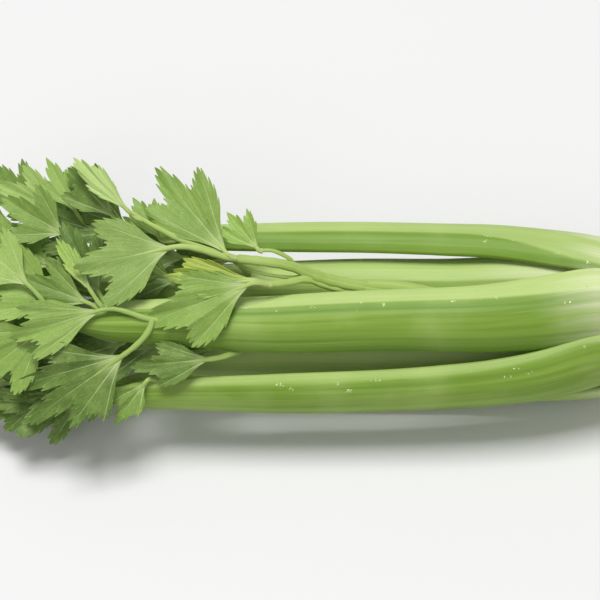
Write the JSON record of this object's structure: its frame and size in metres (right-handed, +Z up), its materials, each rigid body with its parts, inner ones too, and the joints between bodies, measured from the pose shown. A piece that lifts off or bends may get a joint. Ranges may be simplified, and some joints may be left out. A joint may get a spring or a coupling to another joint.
{
  "type": "head of celery",
  "caption": "Head of celery lying on its side: ribbed curved stalks joined at a short cut crown, branching at the far end into lobed, toothed leaflets.",
  "frame": {"origin": "centre of the bottom of the whole head's bounding box, on the surface it lies on", "axes": "+X along the head towards the cut root end, with the leaves at -X; +Z up, out of the surface that the head lies on; +Y away from the person who looks at its front"},
  "size_m": [0.3524, 0.1342, 0.0925],
  "materials": {
    "leafy_stem": "waxy, faintly glossy green skin",
    "young_stem": "waxy, pale yellow-green skin",
    "crown": "moist cut flesh, cream"
  },
  "bodies": {
    "root": {"crown": "crown", "stalk_back": "leafy_stem", "stalk_front": "leafy_stem", "stalk_low_front": "leafy_stem", "stalk_under_front": "leafy_stem", "stalk_under_back": "leafy_stem", "stalk_far": "leafy_stem", "inner_stalk_back": "leafy_stem", "inner_stalk_fork": "young_stem", "inner_stalk_front": "leafy_stem", "inner_stalk_under": "leafy_stem", "heart_stalk": "young_stem"}
  },
  "joints": []
}
